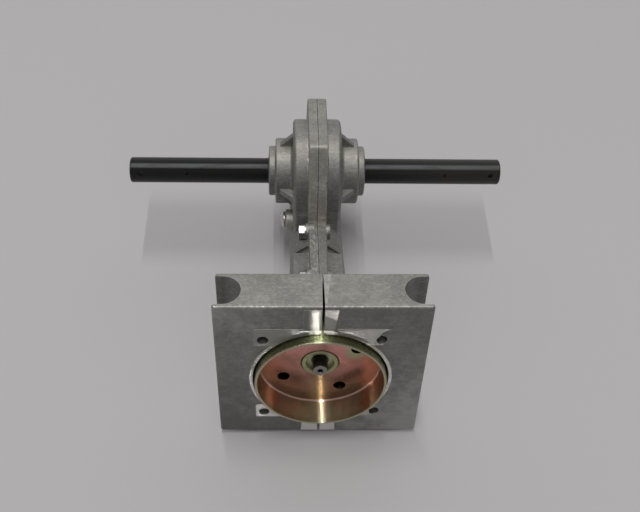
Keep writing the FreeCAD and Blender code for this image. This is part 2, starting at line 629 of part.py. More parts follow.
# ---------------------------------------------------------------- seals and bush
s0, s1 = seal_x0 + 0.1, collar_end - 0.8
seal_prof = [(s0, seal_r), (s1, seal_r), (s1, 11.4), (s1 - 1.0, 11.0), (s1 - 1.0, 9.5), (s1 - 0.2, shaft_r + 0.09),
             (s1 - 2.2, shaft_r + 0.06), (s1 - 3.4, 9.8), (s0 + 1.0, 11.0), (s0, 11.0)]
seal_rad = [0.5, 0.6, 0.4, 0.4, 0.4, 0.2, 0.2, 0.4, 0.3, 0.3]
out["right_shaft_seal"] = solid(turn_x(seal_prof, seal_rad))
out["left_shaft_seal"] = solid(turn_x([(-a, b) for (a, b) in seal_prof], seal_rad))
q0, q1 = up_brg_v + worm_brg[2] + 0.2, 122.6
out["input_seal"] = solid(turn_v([(q0, 13.0), (q1, 13.0), (q1, 11.2), (q1 - 1.0, 10.6), (q1 - 1.0, 8.2), (q1 - 0.2, 6.09),
                                  (q1 - 2.0, 6.06), (q1 - 3.0, 8.2), (q0 + 1.0, 10.4), (q0, 10.4)],
                                 [0.4, 0.4, 0.3, 0.3, 0.3, 0.15, 0.15, 0.3, 0.3, 0.3]))
out["tail_bush"] = solid(turn_v([(-36.6, 5.04), (-22.0, 5.04), (-22.0, 8.6), (-22.4, 9.0), (-36.2, 9.0), (-36.6, 8.6)]))

# ---------------------------------------------------------------- worm shaft
worm_root_r = worm_pitch_r - 1.25 * module
worm_tip_r = worm_pitch_r + module
ws = turn_v([(-36.4, 0), (-36.4, 5.0), (-21.0, 5.0), (-21.0, 8.0), (-18.6, 8.0), (-18.6, worm_root_r), (18.6, worm_root_r),
             (18.6, 6.0), (62.5, 6.0), (62.5, 7.6), (mid_brg_v, 7.6), (mid_brg_v, 6.0), (123.4, 6.0),
             (123.4, 5.0), (128.8, 5.0), (128.8, stub_r), (stub_end, stub_r), (stub_end, 0)],
            [0, 0.6, 0, 0.4, 0.4, 0, 0.8, 0, 0, 0.4, 0, 0, 0.5, 0, 0, 0, 0.7, 0])
# centre-drilled end
ws = ws.cut(cyl_v(1.2, stub_end - 4.5, stub_end + 1))
ws = ws.cut(Part.makeCone(1.2, 1.75, 0.95, P(0, stub_end - 0.95, worm_w), Vector(0, -1, 0)))
# grooves for the retaining rings
ring_v = [mid_brg_v + worm_brg[2] + 0.05, up_brg_v - 1.15]
for rv in ring_v:
    ws = ws.cut(cyl_v(9, rv, rv + 1.1).cut(cyl_v(5.5, rv - 1, rv + 2)))
# worm thread, single start, right hand
pitch = math.pi * module
turns = 6
t_half = pitch / 4 - 0.25 * backlash
r0, r1 = worm_root_r - 0.25, worm_tip_r
h0 = t_half + (worm_pitch_r - r0) * math.tan(pressure)
h1 = t_half - (r1 - worm_pitch_r) * math.tan(pressure)
z0 = -0.5 * turns * pitch
helix = Part.makeHelix(pitch, turns * pitch, worm_pitch_r)
helix.translate(Vector(0, 0, z0))
prof = Part.makePolygon([Vector(r0, 0, z0 - h0), Vector(r1, 0, z0 - h1), Vector(r1, 0, z0 + h1), Vector(r0, 0, z0 + h0), Vector(r0, 0, z0 - h0)])
thread = Part.Wire(helix.Edges).makePipeShell([prof], True, True)
if thread.Volume < 0:
    thread = thread.reversed()
# turn the thread's own axis z into v and its x into w
to_worm_axis = FreeCAD.Matrix(0, -1, 0, 0,
                              0, 0, -1, 0,
                              1, 0, 0, worm_w,
                              0, 0, 0, 1)
thread.Placement = FreeCAD.Placement(to_worm_axis).multiply(thread.Placement)
ws = ws.fuse(thread)
out["worm_shaft"] = solid(ws)

rings = []
for rv in ring_v:
    rg = cyl_v(7.7, rv + 0.05, rv + 1.05).cut(cyl_v(5.55, rv - 1, rv + 2))
    rg = rg.cut(box(-1.6, 1.6, rv - 1, rv + 2, worm_w, worm_w + 12))
    rings.append(solid(rg))
out["retaining_rings"] = Part.Compound(rings)

# ---------------------------------------------------------------- clutch drum and hub
ri = drum_r - drum_wall
dback = drum_floor - 2.3
drum = turn_v([(dback, hub_r + 0.25), (drum_floor, hub_r + 0.25), (drum_floor, ri), (drum_front, ri), (drum_front, drum_r), (dback, drum_r)],
              [0.2, 0.5, 1.3, 0.5, 0.6, 3.6])
for k in range(4):
    a = math.radians(30 + 90 * k)
    drum = drum.cut(cyl_v(drum_hole_r, dback - 1, drum_floor + 1, drum_hole_pc * math.cos(a), worm_w + drum_hole_pc * math.sin(a)))
out["clutch_drum"] = solid(drum)
hub = turn_v([(123.6, 5.0), (129.0, 5.0), (129.0, 7.7), (drum_floor + 0.1, 7.7), (drum_floor + 0.5, 8.1), (drum_floor + 0.5, hub_r), (dback + 0.05, hub_r),
              (dback, hub_r + 0.25), (dback, 12.4), (124.8, 12.4), (123.6, 10.0)],
             [0.2, 0, 0.3, 0, 0, 0.5, 0, 0, 0.5, 0.5, 0.5])
out["drum_hub"] = solid(hub)

# ---------------------------------------------------------------- lean back and set on the origin
# tangent line under the block's rounded lower back edge and the rear lug
e_v, e_w = b0 + edge_round, block_mid - block_bot + edge_round
A, B = e_v - lug_v, e_w - lug_w
tilt = math.asin((edge_round - lug_r) / math.hypot(A, B)) - math.atan2(B, A)
for k in out:
    out[k].rotate(Vector(0, 0, 0), Vector(1, 0, 0), -math.degrees(tilt))
bb = FreeCAD.BoundBox()
for k in ("left_housing", "right_housing", "clutch_drum", "tine_shaft", "housing_screws"):
    for q in out[k].tessellate(0.005)[0]:
        bb.add(q)
move = Vector(-(bb.XMin + bb.XMax) / 2, -(bb.YMin + bb.YMax) / 2, -bb.ZMin)
print("tilt", math.degrees(tilt), "move", move.x, move.y, move.z, "size", bb.XLength, bb.YLength, bb.ZLength)
os.makedirs("parts", exist_ok=True)
for k, s in out.items():
    s.translate(move)
    if not s.isValid():
        print("NOT VALID", k)
    s.exportStep("parts/" + k + ".step")
print(len(out), "nodes,", sum(len(s.Solids) for s in out.values()), "solids")
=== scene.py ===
import bpy
import json
import math
from mathutils import Matrix, Vector

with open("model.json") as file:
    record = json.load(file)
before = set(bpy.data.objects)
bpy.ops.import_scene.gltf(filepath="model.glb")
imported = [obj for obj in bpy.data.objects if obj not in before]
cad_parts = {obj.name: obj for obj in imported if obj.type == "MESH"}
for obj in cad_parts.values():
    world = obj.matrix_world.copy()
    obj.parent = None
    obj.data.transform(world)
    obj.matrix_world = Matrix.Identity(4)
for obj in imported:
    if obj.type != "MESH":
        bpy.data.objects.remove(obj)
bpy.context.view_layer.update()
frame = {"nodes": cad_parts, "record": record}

nodes = frame["nodes"]

# The case's own axes (x, v, w) in millimetres: x along the tine shaft, v along the worm axis towards
# the drum, w square to both. The origin is where the tine-shaft axis crosses the split plane.
SIN, COS = 0.142618, 0.989778
OFF = Vector((0.0, 54.92858, 63.79018))
AX_V = (0.0, -COS, SIN)
AX_W = (0.0, SIN, COS)
WORM_W = -32.0


def row(x, v, w):
    """A point of the case's axes, in millimetres, to the row frame in metres."""
    return (Vector((x, -v * COS + w * SIN, v * SIN + w * COS)) + OFF) / 1000.0


# ------------------------------------------------------------------ node materials
class Mat:
    """A material's node tree with short helpers. Lengths in its coordinates are millimetres."""

    def __init__(self, name):
        self.m = bpy.data.materials.new(name)
        self.m.use_nodes = True
        self.t = self.m.node_tree
        self.t.nodes.clear()
        self.out = self.t.nodes.new("ShaderNodeOutputMaterial")
        self.b = self.t.nodes.new("ShaderNodeBsdfPrincipled")
        self.t.links.new(self.b.outputs[0], self.out.inputs[0])
        tc = self.t.nodes.new("ShaderNodeTexCoord")
        mm = self.vmath("MULTIPLY", tc.outputs["Object"], (1000, 1000, 1000))
        self.p = self.vmath("SUBTRACT", mm, tuple(OFF))
        self.x = self.dot(self.p, (1, 0, 0))
        self.v = self.dot(self.p, AX_V)
        self.w = self.dot(self.p, AX_W)
        self.q = self.combine(self.x, self.v, self.w)

    def put(self, socket, value):
        if isinstance(value, bpy.types.NodeSocket):
            self.t.links.new(value, socket)
        elif hasattr(value, "__len__") and len(value) == 3 and socket.type == "RGBA":
            socket.default_value = (*value, 1.0)
        else:
            socket.default_value = value

    def set(self, **kw):
        for k, val in kw.items():
            self.put(self.b.inputs[k.replace("_", " ")], val)
        return self

    def math(self, op, a, b=0.0, c=0.0, clamp=False):
        n = self.t.nodes.new("ShaderNodeMath")
        n.operation = op
        n.use_clamp = clamp
        for s, val in zip(n.inputs, (a, b, c)):
            self.put(s, val)
        return n.outputs[0]

    def vmath(self, op, a, b=(0, 0, 0)):
        n = self.t.nodes.new("ShaderNodeVectorMath")
        n.operation = op
        self.put(n.inputs[0], a)
        self.put(n.inputs[1], b)
        return n.outputs["Value"] if op in ("DOT_PRODUCT", "LENGTH") else n.outputs["Vector"]

    def dot(self, a, b):
        return self.vmath("DOT_PRODUCT", a, b)

    def combine(self, x, y, z):
        n = self.t.nodes.new("ShaderNodeCombineXYZ")
        for s, val in zip(n.inputs, (x, y, z)):
            self.put(s, val)
        return n.outputs[0]

    def scaled(self, sx, sy, sz):
        """The case's (x, v, w) stretched, for lines and grain with a direction."""
        return self.vmath("MULTIPLY", self.q, (sx, sy, sz))

    def noise(self, scale, detail=3.0, rough=0.55, vec=None, distort=0.0):
        n = self.t.nodes.new("ShaderNodeTexNoise")
        self.put(n.inputs["Vector"], self.q if vec is None else vec)
        n.inputs["Scale"].default_value = scale
        n.inputs["Detail"].default_value = detail
        n.inputs["Roughness"].default_value = rough
        n.inputs["Distortion"].default_value = distort
        return n.outputs["Fac"]

    def cells(self, scale, vec=None, feature="F1"):
        n = self.t.nodes.new("ShaderNodeTexVoronoi")
        n.feature = feature
        self.put(n.inputs["Vector"], self.q if vec is None else vec)
        n.inputs["Scale"].default_value = scale
        return n.outputs["Distance"]

    def step(self, value, lo, hi, a=0.0, b=1.0):
        n = self.t.nodes.new("ShaderNodeMapRange")
        n.interpolation_type = "SMOOTHSTEP"
        self.put(n.inputs["Value"], value)
        n.inputs["From Min"].default_value = lo
        n.inputs["From Max"].default_value = hi
        n.inputs["To Min"].default_value = a
        n.inputs["To Max"].default_value = b
        return n.outputs["Result"]

    def ramp(self, fac, stops):
        n = self.t.nodes.new("ShaderNodeValToRGB")
        self.put(n.inputs[0], fac)
        els = n.color_ramp.elements
        while len(els) < len(stops):
            els.new(0.5)
        for e, (pos, col) in zip(els, stops):
            e.position = pos
            e.color = (*col, 1.0)
        return n.outputs[0]

    def mix(self, fac, a, b, kind="MIX"):
        n = self.t.nodes.new("ShaderNodeMix")
        n.data_type = "RGBA"
        n.blend_type = kind
        n.clamp_factor = True
        self.put(n.inputs[0], fac)
        self.put(n.inputs[6], a)
        self.put(n.inputs[7], b)
        return n.outputs[2]

    def blend(self, fac, a, b):
        """Two numbers mixed by fac."""
        n = self.t.nodes.new("ShaderNodeMix")
        n.data_type = "FLOAT"
        n.clamp_factor = True
        self.put(n.inputs[0], fac)
        self.put(n.inputs[2], a)
        self.put(n.inputs[3], b)
        return n.outputs[0]

    def bump(self, height, mm, strength=1.0, normal=None):
        n = self.t.nodes.new("ShaderNodeBump")
        n.inputs["Strength"].default_value = strength
        n.inputs["Distance"].default_value = mm / 1000.0
        self.put(n.inputs["Height"], height)
        if normal is not None:
            self.put(n.inputs["Normal"], normal)
        return n.outputs[0]

    def edge(self, radius_mm, gain):
        """How near a convex or hollow edge the surface is, 0 to 1."""
        b = self.t.nodes.new("ShaderNodeBevel")
        b.samples = 4
        b.inputs["Radius"].default_value = radius_mm / 1000.0
        g = self.t.nodes.new("ShaderNodeNewGeometry")
        d = self.dot(b.outputs[0], g.outputs["Normal"])
        return self.math("MULTIPLY", self.math("SUBTRACT", 1.0, d), gain, clamp=True)

    def radius(self):
        """Distance from the worm axis."""
        return self.vmath("LENGTH", self.combine(self.x, self.math("SUBTRACT", self.w, WORM_W), 0.0))

    def normal(self):
        return self.t.nodes.new("ShaderNodeNewGeometry").outputs["Normal"]

    def normal_along(self, axis):
        return self.dot(self.normal(), axis)

    def to_world(self, vec):
        n = self.t.nodes.new("ShaderNodeVectorTransform")
        n.vector_type = "VECTOR"
        n.convert_from, n.convert_to = "OBJECT", "WORLD"
        self.put(n.inputs[0], vec)
        return n.outputs[0]

    def grooves(self, normal, across, reach, power=1.0):
        """Fine tool lines, far below a pixel: each point's normal leans across them by a random slope."""
        n = self.t.nodes.new("ShaderNodeTexWhiteNoise")
        n.noise_dimensions = "3D"
        self.put(n.inputs["Vector"], self.q)
        s = self.math("MULTIPLY", self.math("SUBTRACT", n.outputs["Value"], 0.5), 2.0)
        size = self.math("POWER", self.math("ABSOLUTE", s), power)
        s = self.math("MULTIPLY", self.math("MULTIPLY", self.math("SIGN", s), size), reach)
        return self.vmath("NORMALIZE", self.vmath("ADD", normal, self.vmath("MULTIPLY", across, self.combine(s, s, s))))

    def spoke(self):
        """Unit vector from the worm axis to the point, in the object's own axes."""
        wr = self.math("SUBTRACT", self.w, WORM_W)
        return self.vmath("NORMALIZE", self.combine(self.x, self.math("MULTIPLY", wr, SIN), self.math("MULTIPLY", wr, COS)))


def cast_aluminium():
    m = Mat("cast_aluminium")
    big = m.noise(0.032, 3, 0.5)
    blot = m.noise(0.13, 4, 0.6)
    mid = m.noise(0.45, 5, 0.62)
    fine = m.noise(2.6, 3, 0.6)
    drag = m.noise(1.0, 4, 0.6, vec=m.scaled(0.07, 0.55, 0.55))
    col = m.ramp(blot, [(0.30, (0.246, 0.240, 0.226)), (0.52, (0.295, 0.287, 0.269)), (0.74, (0.356, 0.346, 0.324))])
    col = m.mix(m.step(big, 0.40, 0.62), col, m.mix(0.55, col, (0.205, 0.200, 0.193)))
    grain = m.noise(1.0, 3, 0.65, vec=m.scaled(0.55, 1.1, 1.1))
    col = m.mix(m.step(mid, 0.30, 0.52, 0.40, 0.0), col, (0.19, 0.186, 0.178))
    col = m.mix(m.step(mid, 0.50, 0.74, 0.0, 0.40), col, (0.43, 0.423, 0.406))
    col = m.mix(m.step(drag, 0.52, 0.74, 0.0, 0.30), col, (0.45, 0.443, 0.428))
    col = m.mix(m.step(grain, 0.52, 0.72, 0.0, 0.42), col, (0.47, 0.460, 0.438))
    col = m.mix(m.step(grain, 0.48, 0.28, 0.0, 0.46), col, (0.155, 0.150, 0.142))
    # painted light: upper faces and the front of the gear case are painted paler, where the light falls on them
    up = m.step(m.normal_along(AX_W), 0.72, 0.97, 0.0, 0.42)
    up = m.math("MULTIPLY", up, m.math("MAXIMUM", m.step(m.v, 50.0, 44.0), m.step(m.v, 112.0, 116.0)))
    fore = m.math("MULTIPLY", m.step(m.normal_along(AX_V), 0.3, 0.85), m.math("MULTIPLY", m.step(m.v, 62.0, 50.0), m.step(m.w, -22.0, -8.0)))
    fore = m.math("MULTIPLY", fore, m.step(m.math("ABSOLUTE", m.x), 6.6, 5.4))
    col = m.mix(m.math("MAXIMUM", up, fore), col, m.vmath("MULTIPLY", col, (1.62, 1.60, 1.55)))
    # painted shade and light on the engine face: darker overall, darker low on the left, paler low on the right
    front = m.step(m.v, 141.0, 141.4)
    sx = m.math("MULTIPLY", m.x, 0.021)
    sw = m.math("MULTIPLY", m.math("ADD", m.w, 31.0), 0.021)
    face_shading = m.math("SUBTRACT", m.math("MULTIPLY", sx, 0.10), m.math("MULTIPLY", m.math("MULTIPLY", sx, sw), 0.26))
    face_shading = m.math("ADD", face_shading, m.math("MULTIPLY", m.math("SUBTRACT", blot, 0.5), 0.5))
    col = m.mix(m.math("MULTIPLY", front, 0.30), col, (0.17, 0.165, 0.158))
    col = m.mix(m.math("MULTIPLY", front, m.step(face_shading, 0.0, 0.40, 0.0, 0.75)), col, (0.46, 0.452, 0.44))
    col = m.mix(m.math("MULTIPLY", front, m.step(face_shading, 0.0, -0.40, 0.0, 0.60)), col, (0.14, 0.137, 0.136))
    # the left half of the neck flange is scraped bright in places
    neck = m.math("MULTIPLY", m.math("MULTIPLY", m.step(m.v, 45.5, 46.5), m.step(m.v, 116.0, 110.0)), m.math("MULTIPLY", m.math("MULTIPLY", m.step(m.x, -0.2, -0.6), m.step(m.x, -6.6, -6.0)), m.step(m.normal_along(AX_W), 0.80, 0.95)))
    scrape = m.math("MULTIPLY", neck, m.step(m.noise(0.5, 4, 0.65, vec=m.scaled(1.2, 0.6, 0.6)), 0.44, 0.70))
    col = m.mix(m.math("MULTIPLY", scrape, 0.70), col, (0.62, 0.61, 0.58))
    # painted highlight on the flange's bend, and painted light on its right half above the bend and on the plug's boss
    bend_highlight = m.math("MULTIPLY", m.math("MULTIPLY", m.step(m.v, 45.0, 46.0), m.step(m.v, 48.6, 47.0)), m.math("MULTIPLY", m.step(m.math("ABSOLUTE", m.x), 6.4, 5.6), m.step(m.normal_along(AX_W), 0.4, 0.8)))
    col = m.mix(m.math("MULTIPLY", bend_highlight, m.step(mid, 0.36, 0.56, 0.25, 0.75)), col, (0.64, 0.63, 0.60))
    painted_light_patch = m.math("MULTIPLY", m.math("MULTIPLY", m.step(m.x, 0.2, 0.5), m.step(m.x, 6.4, 5.8)), m.math("MULTIPLY", m.step(m.v, 52.0, 46.0), m.step(m.w, -3.0, -13.0)))
    painted_light_patch = m.math("MULTIPLY", painted_light_patch, m.step(m.normal_along(AX_V), 0.3, 0.7))
    off = m.vmath("LENGTH", m.combine(m.math("SUBTRACT", m.v, 18.8), m.math("ADD", m.w, 25.0), 0.0))
    painted_light_patch = m.math("MAXIMUM", painted_light_patch, m.math("MULTIPLY", m.step(off, 7.2, 6.6), m.step(m.x, -13.0, -14.5)))
    col = m.mix(painted_light_patch, col, m.vmath("MULTIPLY", col, (1.75, 1.74, 1.70)))
    # dark specks and pits of the casting, and small bright specks that are painted glints
    pits = m.step(m.noise(1.3, 2, 0.5), 0.66, 0.75)
    col = m.mix(m.math("MULTIPLY", pits, 0.45), col, (0.11, 0.105, 0.10))
    glint = m.math("MULTIPLY", m.step(m.noise(1.5, 2, 0.5, vec=m.scaled(0.6, 1.0, 1.0)), 0.66, 0.74), m.step(blot, 0.46, 0.62))
    col = m.mix(m.math("MULTIPLY", glint, 0.32), col, (0.62, 0.61, 0.58))
    # edges worn bright, and a painted highlight line along the block's front top edge
    lip_highlight = m.math("MULTIPLY", m.step(m.v, 138.6, 140.6), m.step(m.w, 24.6, 25.6))
    wear = m.math("MULTIPLY", m.edge(0.9, 3.0), m.step(m.noise(0.50, 3), 0.34, 0.60))
    wear = m.math("MAXIMUM", wear, m.math("MULTIPLY", lip_highlight, m.math("ADD", 0.12, m.step(m.noise(0.55, 5, 0.7), 0.48, 0.70, 0.0, 0.65))))
    col = m.mix(m.math("MULTIPLY", wear, 0.8), col, (0.70, 0.69, 0.67))
    # machined pads, ground wedge on the block's top, and the drum bore
    pad = m.step(m.v, 141.86, 142.0)
    wedge = m.math("MULTIPLY", m.step(m.w, 26.18, 26.3), m.step(m.v, 110.0, 111.0))
    inside = m.math("MULTIPLY", m.step(m.radius(), 37.75, 37.65), m.step(m.v, 125.8, 125.9))
    cut = m.math("MAXIMUM", m.math("MAXIMUM", pad, m.math("MULTIPLY", wedge, 0.9)), inside)
    lines = m.noise(1.0, 3, 0.6, vec=m.scaled(0.25, 0.5, 7.0))
    bright = m.ramp(lines, [(0.30, (0.44, 0.430, 0.405)), (0.70, (0.60, 0.588, 0.555))])
    # painted highlight: the streak of light on the pad left of the slit
    pad_streak_highlight = m.math("MULTIPLY", m.math("MULTIPLY", m.step(m.x, -6.2, -4.4), m.step(m.x, -1.0, -2.0)), m.step(m.w, 6.0, 8.0))
    bright = m.mix(pad_streak_highlight, bright, (0.80, 0.78, 0.72))
    lower = m.math("MULTIPLY", m.step(m.w, -48.0, -54.0), m.step(m.x, -11.0, -14.0))
    bright = m.mix(m.math("MAXIMUM", m.math("MULTIPLY", lower, 0.9), m.math("MULTIPLY", m.step(m.radius(), 39.7, 39.3, 0.0, 0.75), m.step(m.w, 4.0, -8.0))), bright, (0.86, 0.85, 0.82))
    # painted shade: the upper left pads, the lower part of the right pad, the left slit pad away from its streak, the
    # edge of the slit and the ring's crown are painted dark, and so are random patches; all of these are also rougher
    dull_and_shade = m.math("MULTIPLY", m.step(m.w, -8.0, 0.0), m.step(m.x, -12.0, -20.0))
    dull_and_shade = m.math("MAXIMUM", m.math("MULTIPLY", dull_and_shade, 0.75), m.step(blot, 0.50, 0.72, 0.0, 0.6))
    low = m.math("MULTIPLY", m.step(m.x, 0.2, 0.6), m.math("MULTIPLY", m.step(m.math("ADD", m.w, m.math("MULTIPLY", m.x, 0.6)), 23.5, 19.0), m.step(m.w, 8.0, 9.0)))
    dull_and_shade = m.math("MAXIMUM", dull_and_shade, m.math("MULTIPLY", low, 0.6))
    ragged = m.math("ADD", m.x, m.math("MULTIPLY", m.math("SUBTRACT", lines, 0.5), 7.0))
    fade = m.math("MULTIPLY", m.step(ragged, -5.0, -7.8), m.math("MULTIPLY", m.step(m.x, -14.0, -12.0), m.step(m.w, 8.0, 9.0)))
    dull_and_shade = m.math("MAXIMUM", dull_and_shade, fade)
    beside = m.math("MULTIPLY", m.math("MULTIPLY", m.step(m.x, -2.2, -1.4), m.step(m.x, 0.0, -0.3)), m.step(m.w, 8.0, 9.0))
    dull_and_shade = m.math("MAXIMUM", dull_and_shade, m.math("MULTIPLY", beside, 0.55))
    crown = m.math("MULTIPLY", m.step(m.radius(), 40.6, 39.8), m.math("MULTIPLY", m.step(m.w, -4.0, 3.0), m.step(m.math("ABSOLUTE", m.x), 6.0, 9.0)))
    dull_and_shade = m.math("MAXIMUM", dull_and_shade, m.math("MULTIPLY", crown, 0.85))
    bright = m.mix(dull_and_shade, bright, (0.24, 0.233, 0.218))
    # the two pads under the drum are evenly matt
    foot = m.math("MULTIPLY", m.step(m.w, -66.3, -66.9), m.step(m.math("ABSOLUTE", m.x), 12.6, 11.8))
    bright = m.mix(foot, bright, m.ramp(lines, [(0.30, (0.66, 0.65, 0.63)), (0.70, (0.78, 0.77, 0.75))]))
    col = m.mix(cut, col, bright)
    # painted shade: the floor of the drum bore is painted near black
    bore_shade = m.math("MULTIPLY", m.step(m.radius(), 37.0, 36.0), m.math("MULTIPLY", m.step(m.v, 129.0, 128.0), m.step(m.v, 112.0, 113.0)))
    bore_shade = m.math("MULTIPLY", bore_shade, m.step(m.normal_along(AX_V), 0.3, 0.7))
    col = m.mix(bore_shade, col, m.ramp(mid, [(0.3, (0.016, 0.016, 0.015)), (0.7, (0.034, 0.033, 0.030))]))
    # painted shade in the slit between the halves: its walls are painted near black
    slit = m.math("MULTIPLY", m.step(m.math("ABSOLUTE", m.x), 0.78, 0.72), m.math("MULTIPLY", m.step(m.math("ABSOLUTE", m.normal_along((1, 0, 0))), 0.6, 0.9), m.step(m.v, 112.0, 113.0)))
    col = m.mix(slit, col, (0.020, 0.019, 0.018))
    rough = m.math("ADD", m.math("MULTIPLY", mid, 0.22), 0.46)
    rough = m.blend(m.math("MAXIMUM", wear, glint), rough, 0.33)
    rough = m.blend(cut, rough, m.math("ADD", m.math("MULTIPLY", lines, 0.20), 0.34))
    rough = m.blend(pad, rough, m.math("ADD", m.math("MULTIPLY", m.math("MAXIMUM", dull_and_shade, foot), 0.36), m.math("ADD", m.math("MULTIPLY", lines, 0.08), 0.08)))
    h = m.math("ADD", m.math("MULTIPLY", mid, 0.50), m.math("MULTIPLY", fine, 0.35))
    h = m.math("ADD", h, m.math("MULTIPLY", blot, 0.35))
    h = m.math("SUBTRACT", h, m.math("MULTIPLY", pits, 0.25))
    h = m.blend(cut, h, m.math("MULTIPLY", lines, 0.10))
    # the pads' grinding runs across, a little out of level, so their gloss spreads up and down
    grind = (0.9988, 0.0490 * SIN, 0.0490 * COS)
    across = m.vmath("NORMALIZE", m.vmath("CROSS_PRODUCT", m.normal(), grind))
    m.set(Base_Color=col, Metallic=0.85, Roughness=rough,
          Normal=m.grooves(m.bump(h, 0.20, 0.75), across, m.math("MULTIPLY", m.math("MULTIPLY", pad, m.math("SUBTRACT", 1.0, foot)), m.blend(dull_and_shade, 2.1, 1.2)), 4.5))
    return m.m


def black_shaft():
    m = Mat("black_steel")
    turn = m.noise(1.0, 3, 0.6, vec=m.scaled(3.0, 0.10, 0.10))
    blot = m.noise(0.12, 4, 0.6)
    scuff = m.step(m.noise(1.0, 4, 0.65, vec=m.scaled(0.25, 0.9, 0.9)), 0.63, 0.74)
    col = m.ramp(blot, [(0.3, (0.0040, 0.0040, 0.0040)), (0.7, (0.0085, 0.0083, 0.0080))])
    col = m.mix(m.step(m.x, 10.0, 90.0, 0.0, 0.7), col, (0.026, 0.0245, 0.0225))
    col = m.mix(m.math("MULTIPLY", scuff, 0.30), col, (0.050, 0.045, 0.039))
    # painted highlight: a long pale streak on the upper front, standing in for the lamp's shine
    face = m.normal_along((0, 1, 0))
    sheen_streak = m.math("MULTIPLY", m.step(face, -0.62, -0.44), m.step(face, -0.15, -0.32))
    sheen_streak = m.math("MULTIPLY", sheen_streak, m.step(m.normal_along((0, 0, 1)), 0.4, 0.6))
    sheen_streak = m.math("MULTIPLY", sheen_streak, m.step(m.noise(1.0, 4, 0.6, vec=m.scaled(0.06, 0.5, 0.5)), 0.30, 0.62, 0.55, 1.0))
    col = m.mix(sheen_streak, col, (0.082, 0.086, 0.091))
    wear = m.math("MULTIPLY", m.edge(0.8, 3.0), m.step(m.noise(0.7, 3), 0.35, 0.6))
    col = m.mix(m.math("MULTIPLY", wear, 0.5), col, (0.11, 0.10, 0.09))
    rough = m.math("ADD", m.math("MULTIPLY", blot, 0.20), 0.27)
    rough = m.math("ADD", rough, m.math("MULTIPLY", scuff, 0.12))
    # turned all round, so the gloss spreads along the shaft
    ring = m.vmath("ADD", m.vmath("CROSS_PRODUCT", (1, 0, 0), m.normal()), (0.0, 0.0006, 0.0008))
    sides = m.step(m.math("ABSOLUTE", m.normal_along((1, 0, 0))), 0.80, 0.40)
    m.set(Base_Color=col, Metallic=0.0, Roughness=rough, Specular_IOR_Level=0.36, Anisotropic=m.math("MULTIPLY", sides, m.step(blot, 0.2, 0.8, 0.94, 0.88)),
          Tangent=m.vmath("CROSS_PRODUCT", m.normal(), ring),
          Normal=m.bump(m.math("ADD", m.math("MULTIPLY", turn, 0.5), m.math("MULTIPLY", blot, 0.5)), 0.05, 0.5))
    return m.m


def turned_gloss(m):
    """Gloss of a turned face: the fine rings spread the light square to themselves."""
    ring = m.vmath("CROSS_PRODUCT", m.spoke(), AX_V)
    return m.vmath("CROSS_PRODUCT", m.normal(), m.to_world(ring))


